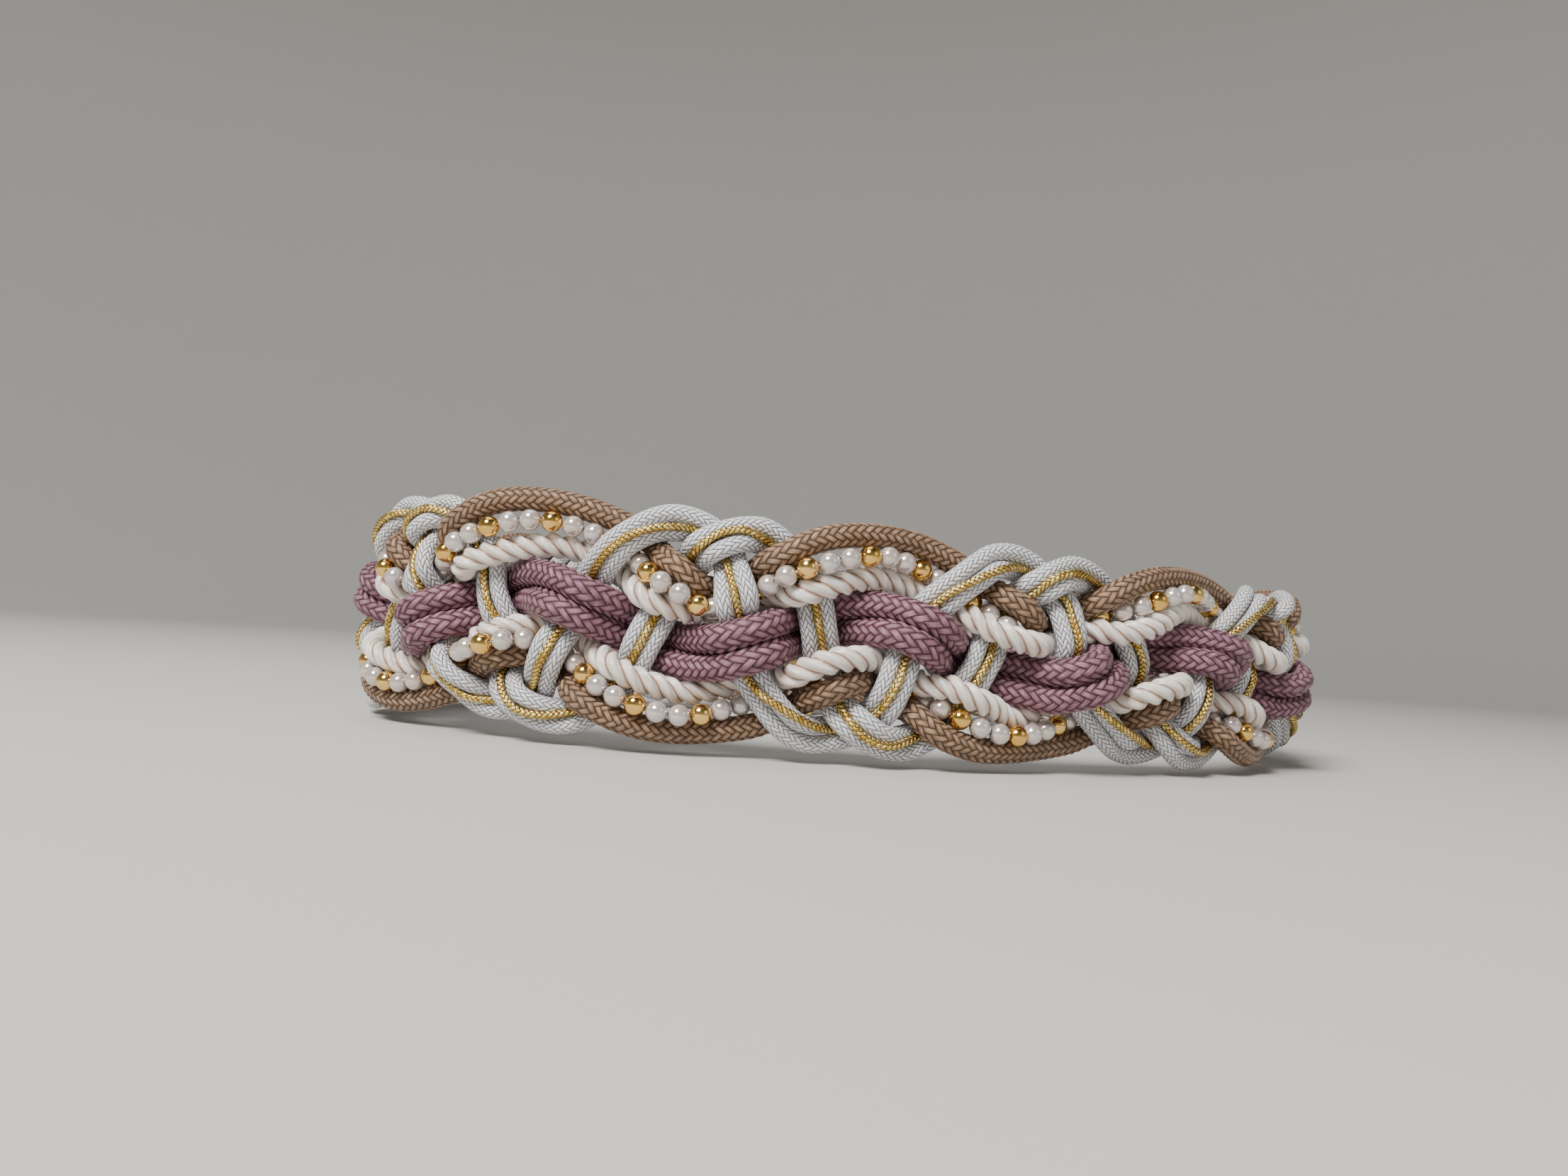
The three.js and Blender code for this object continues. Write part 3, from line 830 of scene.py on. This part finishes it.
def braid_nodes(n, braid):
    """A two-over-two braid in nodes: its relief, the place across and along a float, whether the float
    runs the first way round, and a number of its own for each float.
    """
    across_cord, along_cord = n.uv()
    step = n.math("DIVIDE", along_cord, braid["pitch"])
    turn = n.math("MULTIPLY", across_cord, float(braid["yarns"]))
    a = n.math("ADD", step, turn)
    b = n.math("SUBTRACT", step, turn)
    floor_a, floor_b = n.math("FLOOR", a), n.math("FLOOR", b)
    in_a, in_b = n.math("SUBTRACT", a, floor_a), n.math("SUBTRACT", b, floor_b)
    cell = n.math("FLOORED_MODULO", n.math("SUBTRACT", floor_a, floor_b), 4.0)
    first = n.math("LESS_THAN", cell, 1.5)
    second = n.math("SUBTRACT", 1.0, first)

    def choose(one, other):
        return n.math("ADD", n.math("MULTIPLY", one, first), n.math("MULTIPLY", other, second))

    across = n.math("SUBTRACT", choose(in_b, in_a), 0.5)
    along_a = n.math("ADD", in_a, cell)
    along_b = n.math("ADD", in_b, n.math("SUBTRACT", 3.0, cell))
    along = n.math("MULTIPLY", choose(along_a, along_b), 0.5)
    off = n.math("ABSOLUTE", n.math("MULTIPLY", across, 2.0))
    crown = n.math("SUBTRACT", 1.0, n.math("POWER", off, YARN_FLATNESS))
    arch = n.math("MAXIMUM", n.math("SINE", n.math("MULTIPLY", along, math.pi)), 0.0)
    ends = n.math("POWER", arch, YARN_END)
    relief = n.math("MULTIPLY", crown, ends)
    yarn = n.math("MULTIPLY", choose(floor_b, floor_a), YARN_NUMBER)
    pair = n.math("FLOOR", n.math("DIVIDE", choose(floor_a, floor_b), 2.0))
    own = n.math("ADD", yarn, pair)
    return {"relief": relief, "across": across, "along": along, "first": first, "float": own}


def fibre_noise(n, parts, across, along, scale, detail, roughness):
    """Fine fibres along each float: across and along say how many."""
    spot_across = n.math("MULTIPLY", parts["across"], across)
    spot_along = n.math("MULTIPLY", parts["along"], along)
    return n.noise(n.vector(spot_across, spot_along, parts["float"]), scale, detail, roughness)


def satin_material(kind):
    """Satin yarns: fine fibres along each float, painted shade in the creases, painted highlights on fibres
    and crests, and small differences between floats.
    """
    n = Nodes(kind + "_satin")
    colour, dark_tone_and_crease_shade, light = SATINS[kind]["colour"], SATINS[kind]["dark_tone_and_crease_shade"], SATINS[kind]["light"]
    parts = braid_nodes(n, BRAIDS[kind])
    fibres = fibre_noise(n, parts, 5.0, 0.9, 1.5, 3.0, 0.75)
    tone = n.random(n.vector(parts["float"], parts["first"], 0.3))
    base = n.mix(n.ramp(fibres, 0.3, 0.5, 0.0, 1.0), tuple(0.45 * part for part in colour), colour)
    # Painted sheen: some fibres lightened towards the highlight colour.
    base = n.mix(n.ramp(fibres, 0.54, 0.7, 0.0, 0.85), base, light)
    # Painted highlight on the crown of each float.
    base = n.mix(n.ramp(parts["relief"], 0.7, 1.0, 0.0, 0.28), base, light)
    base = n.mix(n.math("MULTIPLY", tone, 0.35), base, dark_tone_and_crease_shade)
    # Painted shade: the creases between floats darkened towards the dark colour.
    base = n.mix(n.ramp(parts["relief"], 0.12, 0.74, 0.0, 1.0), dark_tone_and_crease_shade, base)
    normal = n.bump(parts["relief"], 0.45 * MM, 0.9)
    normal = n.bump(fibres, 0.3 * MM, 1.0, normal)
    return n.set(
        Base_Color=base,
        Roughness=n.ramp(fibres, 0.3, 0.8, 0.42, 0.3),
        Specular_IOR_Level=1.0,
        Specular_Tint=light,
        Normal=normal,
    )


def white_material():
    """Fine braid with a soft sheen, a little soiled."""
    n = Nodes("white_braid")
    parts = braid_nodes(n, BRAIDS["white"])
    fibres = fibre_noise(n, parts, 6.0, 1.0, 1.4, 2.0, 0.6)
    soil = n.noise(n.place(), 60.0, 3.0)
    # Painted shade: the creases between yarns darkened.
    base = n.mix(n.ramp(parts["relief"], 0.08, 0.6, 0.0, 1.0), (0.09, 0.09, 0.1), (0.79, 0.8, 0.84))
    base = n.mix(n.ramp(fibres, 0.35, 0.6, 0.25, 0.0), base, (0.55, 0.54, 0.55))
    base = n.mix(n.ramp(soil, 0.45, 0.7, 0.0, 0.14), base, (0.7, 0.63, 0.56))
    normal = n.bump(parts["relief"], 0.45 * MM, 1.0)
    normal = n.bump(fibres, 0.08 * MM, 0.5, normal)
    return n.set(Base_Color=base, Roughness=0.4, Specular_IOR_Level=0.6, Normal=normal)


def cream_material():
    """Glossy plies of many fine threads, with warm painted shade in their grooves."""
    n = Nodes("cream_twist")
    across, along = n.uv()
    ply = n.math("MULTIPLY", across, float(ROPE_PLIES))
    local = n.math("SUBTRACT", n.math("FRACT", ply), 0.5)
    edge = n.math("ABSOLUTE", n.math("MULTIPLY", local, 2.0))
    slant = n.math("ADD", n.math("MULTIPLY", local, 9.0), n.math("MULTIPLY", along, 500.0))
    spot = n.vector(slant, n.math("MULTIPLY", along, 150.0), n.math("FLOOR", ply))
    threads = n.noise(spot, 1.2, 3.0, 0.7)
    stains = n.noise(n.place(), 75.0, 3.0)
    base = n.mix(n.ramp(threads, 0.36, 0.62, 0.0, 1.0), (0.68, 0.58, 0.5), (0.95, 0.91, 0.86))
    base = n.mix(n.ramp(stains, 0.5, 0.72, 0.0, 0.3), base, (0.86, 0.66, 0.52))
    # Painted shade: warm dark colour in the grooves between plies.
    base = n.mix(n.ramp(edge, 0.68, 0.96, 0.0, 1.0), base, (0.3, 0.16, 0.09))
    normal = n.bump(threads, 0.2 * MM, 0.9)
    return n.set(Base_Color=base, Roughness=0.28, Specular_IOR_Level=0.7, Normal=normal)


def gold_cord_material():
    """Metallic yarns that glint one by one, with painted shade in their creases."""
    n = Nodes("gold_braid")
    parts = braid_nodes(n, BRAIDS["gold"])
    glint = n.random(n.vector(parts["float"], parts["first"], 0.5))
    fibres = fibre_noise(n, parts, 5.0, 5.0, 1.5, 2.0, 0.7)
    base = n.mix(glint, (0.56, 0.34, 0.06), (1.0, 0.78, 0.3))
    # Painted shade: the creases between yarns darkened.
    base = n.mix(n.ramp(parts["relief"], 0.1, 0.6, 1.0, 0.0), base, (0.06, 0.03, 0.008))
    normal = n.bump(n.math("ADD", parts["relief"], n.math("MULTIPLY", fibres, 0.5)), 0.24 * MM, 1.0)
    return n.set(Base_Color=base, Metallic=1.0, Roughness=0.26, Normal=normal)


def pearl_material():
    """A milky body under a clear glossy skin."""
    n = Nodes("pearl")
    tint = n.noise(n.place(), 90.0, 2.0)
    base = n.mix(n.ramp(tint, 0.35, 0.65, 0.0, 1.0), (0.7, 0.6, 0.53), (0.68, 0.63, 0.62))
    normal = n.bump(n.noise(n.place(), 900.0, 2.0), 0.02 * MM, 0.25)
    return n.set(
        Base_Color=base,
        Metallic=0.5,
        Roughness=0.18,
        Specular_IOR_Level=0.8,
        Coat_Weight=1.0,
        Coat_Roughness=0.06,
        Coat_IOR=1.7,
        Normal=normal,
    )


def gold_bead_material():
    """Polished gilt with faint cloudy wear."""
    n = Nodes("gold_bead")
    tint = n.noise(n.place(), 120.0, 2.0)
    base = n.mix(n.ramp(tint, 0.35, 0.65, 0.0, 1.0), (0.86, 0.52, 0.12), (0.98, 0.66, 0.22))
    rough = n.ramp(n.noise(n.place(), 400.0, 3.0), 0.3, 0.7, 0.08, 0.18)
    return n.set(Base_Color=base, Metallic=1.0, Roughness=rough)


def clasp_material():
    """Brushed gilt metal."""
    n = Nodes("clasp_metal")
    spread = n.tree.nodes.new("ShaderNodeVectorMath")
    spread.operation = "MULTIPLY"
    n.put(spread.inputs[0], n.place())
    spread.inputs[1].default_value = (2500.0, 2500.0, 60.0)
    lines = n.noise(spread.outputs[0], 1.0, 3.0)
    cloud = n.noise(n.place(), 80.0, 3.0)
    base = n.mix(n.ramp(cloud, 0.35, 0.7, 0.0, 1.0), (0.82, 0.55, 0.2), (0.93, 0.68, 0.3))
    normal = n.bump(lines, 0.03 * MM, 0.4)
    return n.set(Base_Color=base, Metallic=1.0, Roughness=n.ramp(lines, 0.3, 0.7, 0.24, 0.4), Normal=normal)


def thread_material():
    """Fuzzy off-white thread."""
    n = Nodes("thread")
    fuzz = n.noise(n.place(), 2500.0, 2.0)
    base = n.mix(fuzz, (0.7, 0.66, 0.6), (0.85, 0.82, 0.78))
    return n.set(Base_Color=base, Roughness=0.7)


def finish_piece(piece, material, node):
    """Gives a piece its material, hangs it on the root body and hides the frame node it stands for."""
    piece.data.materials.clear()
    piece.data.materials.append(material)
    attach(piece, "root")
    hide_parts(node)


def dress(strands):
    """Builds every visible strand."""
    satin = {kind: satin_material(kind) for kind in SATINS}
    white, cream, gold = white_material(), cream_material(), gold_cord_material()
    pearl, gold_bead, thread = pearl_material(), gold_bead_material(), thread_material()
    for name, (diameter, points) in strands.items():
        kind = name.split("_")[0]
        shown = name + "_dressed"
        diameter *= SWELL.get(kind, 1)
        if kind in SATINS:
            piece = braided_cord(shown, points, diameter, BRAIDS[kind])
            finish_piece(piece, satin[kind], name)
        elif kind == "cream":
            finish_piece(twisted_rope(shown, points, diameter), cream, name)
        elif kind == "white":
            finish_piece(tube(shown, points, diameter, WHITE_SIDES, WHITE_STEP), white, name)
        elif kind == "gold":
            finish_piece(braided_cord(shown, points, diameter, BRAIDS["gold"]), gold, name)
        else:
            pearls, golds, string = bead_string(name, points, FIRST_GOLD[name])
            finish_piece(pearls, pearl, name)
            finish_piece(golds, gold_bead, name)
            finish_piece(string, thread, name)


def dress_clasp():
    """Gives the frame's own clasp its metal."""
    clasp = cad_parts["back_clasp"]
    clasp.data.materials.clear()
    clasp.data.materials.append(clasp_material())


def studio_floor():
    """A pale round floor that curves up into a wall on every side."""
    profile = []
    for i in range(FLOOR_BENDS + 1):
        angle = math.pi / 2 * i / FLOOR_BENDS
        profile.append((FLOOR_RADIUS + FLOOR_BEND * math.sin(angle), FLOOR_BEND * (1 - math.cos(angle))))
    profile.append((FLOOR_RADIUS + FLOOR_BEND, WALL_HEIGHT))
    vertices = [(0, 0, 0)]
    for radius, height in profile:
        for k in range(FLOOR_SIDES):
            turn = 2 * math.pi * k / FLOOR_SIDES
            vertices.append((radius * math.cos(turn), radius * math.sin(turn), height))
    faces = []
    for k in range(FLOOR_SIDES):
        after = (k + 1) % FLOOR_SIDES
        faces.append((0, 1 + k, 1 + after))
        for i in range(len(profile) - 1):
            low, high = 1 + i * FLOOR_SIDES, 1 + (i + 1) * FLOOR_SIDES
            faces.append((low + after, low + k, high + k, high + after))
    floor = mesh_object("studio_floor", vertices, faces)
    n = Nodes("studio_pale")
    floor.data.materials.append(n.set(Base_Color=FLOOR_COLOUR, Roughness=0.8))


def studio_light():
    """Soft lamps and a faint sky."""
    for name, (spot, size, power, colour) in LAMPS.items():
        light = bpy.data.lights.new(name, "AREA")
        light.shape = "DISK"
        light.size = size
        light.energy = power
        light.color = colour
        lamp = bpy.data.objects.new(name, light)
        lamp.location = spot
        lamp.rotation_euler = (Vector((0, 0, LAMP_AIM)) - Vector(spot)).to_track_quat("-Z", "Y").to_euler()
        bpy.context.scene.collection.objects.link(lamp)
    world = bpy.data.worlds.new("studio")
    bpy.context.scene.world = world
    world.use_nodes = True
    sky = world.node_tree.nodes["Background"]
    sky.inputs["Color"].default_value = SKY_COLOUR
    sky.inputs["Strength"].default_value = SKY_STRENGTH


def camera(mid_height):
    """The photograph's camera: level with the belt's mid-height, and turned and rolled a little."""
    data = bpy.data.cameras.new("photo_camera")
    data.sensor_width = FILM_WIDTH
    data.lens = data.sensor_width * FOCAL_PIXELS / PHOTO_WIDTH
    data.shift_y = (MIDDLE_PIXEL[1] - PHOTO_HEIGHT / 2) / PHOTO_WIDTH
    data.clip_start = 0.01
    data.clip_end = 20.0
    eye = bpy.data.objects.new("photo_camera", data)
    ahead = Vector((math.sin(CAMERA_TURN), math.cos(CAMERA_TURN), 0))
    right = Vector((math.cos(CAMERA_TURN), -math.sin(CAMERA_TURN), 0))
    aside = (MIDDLE_PIXEL[0] - PHOTO_WIDTH / 2) / FOCAL_PIXELS * CAMERA_DISTANCE
    eye.location = Vector((0, 0, mid_height)) - ahead * CAMERA_DISTANCE - right * aside
    eye.rotation_euler = (math.pi / 2, -CAMERA_ROLL, -CAMERA_TURN)
    bpy.context.scene.collection.objects.link(eye)
    bpy.context.scene.camera = eye


settled = settle(lay_strands())
lifted = seat_on_frame(settled)
camera(BELT_HEIGHT / 2 + lifted)
studio_floor()
studio_light()
dress(settled)
dress_clasp()
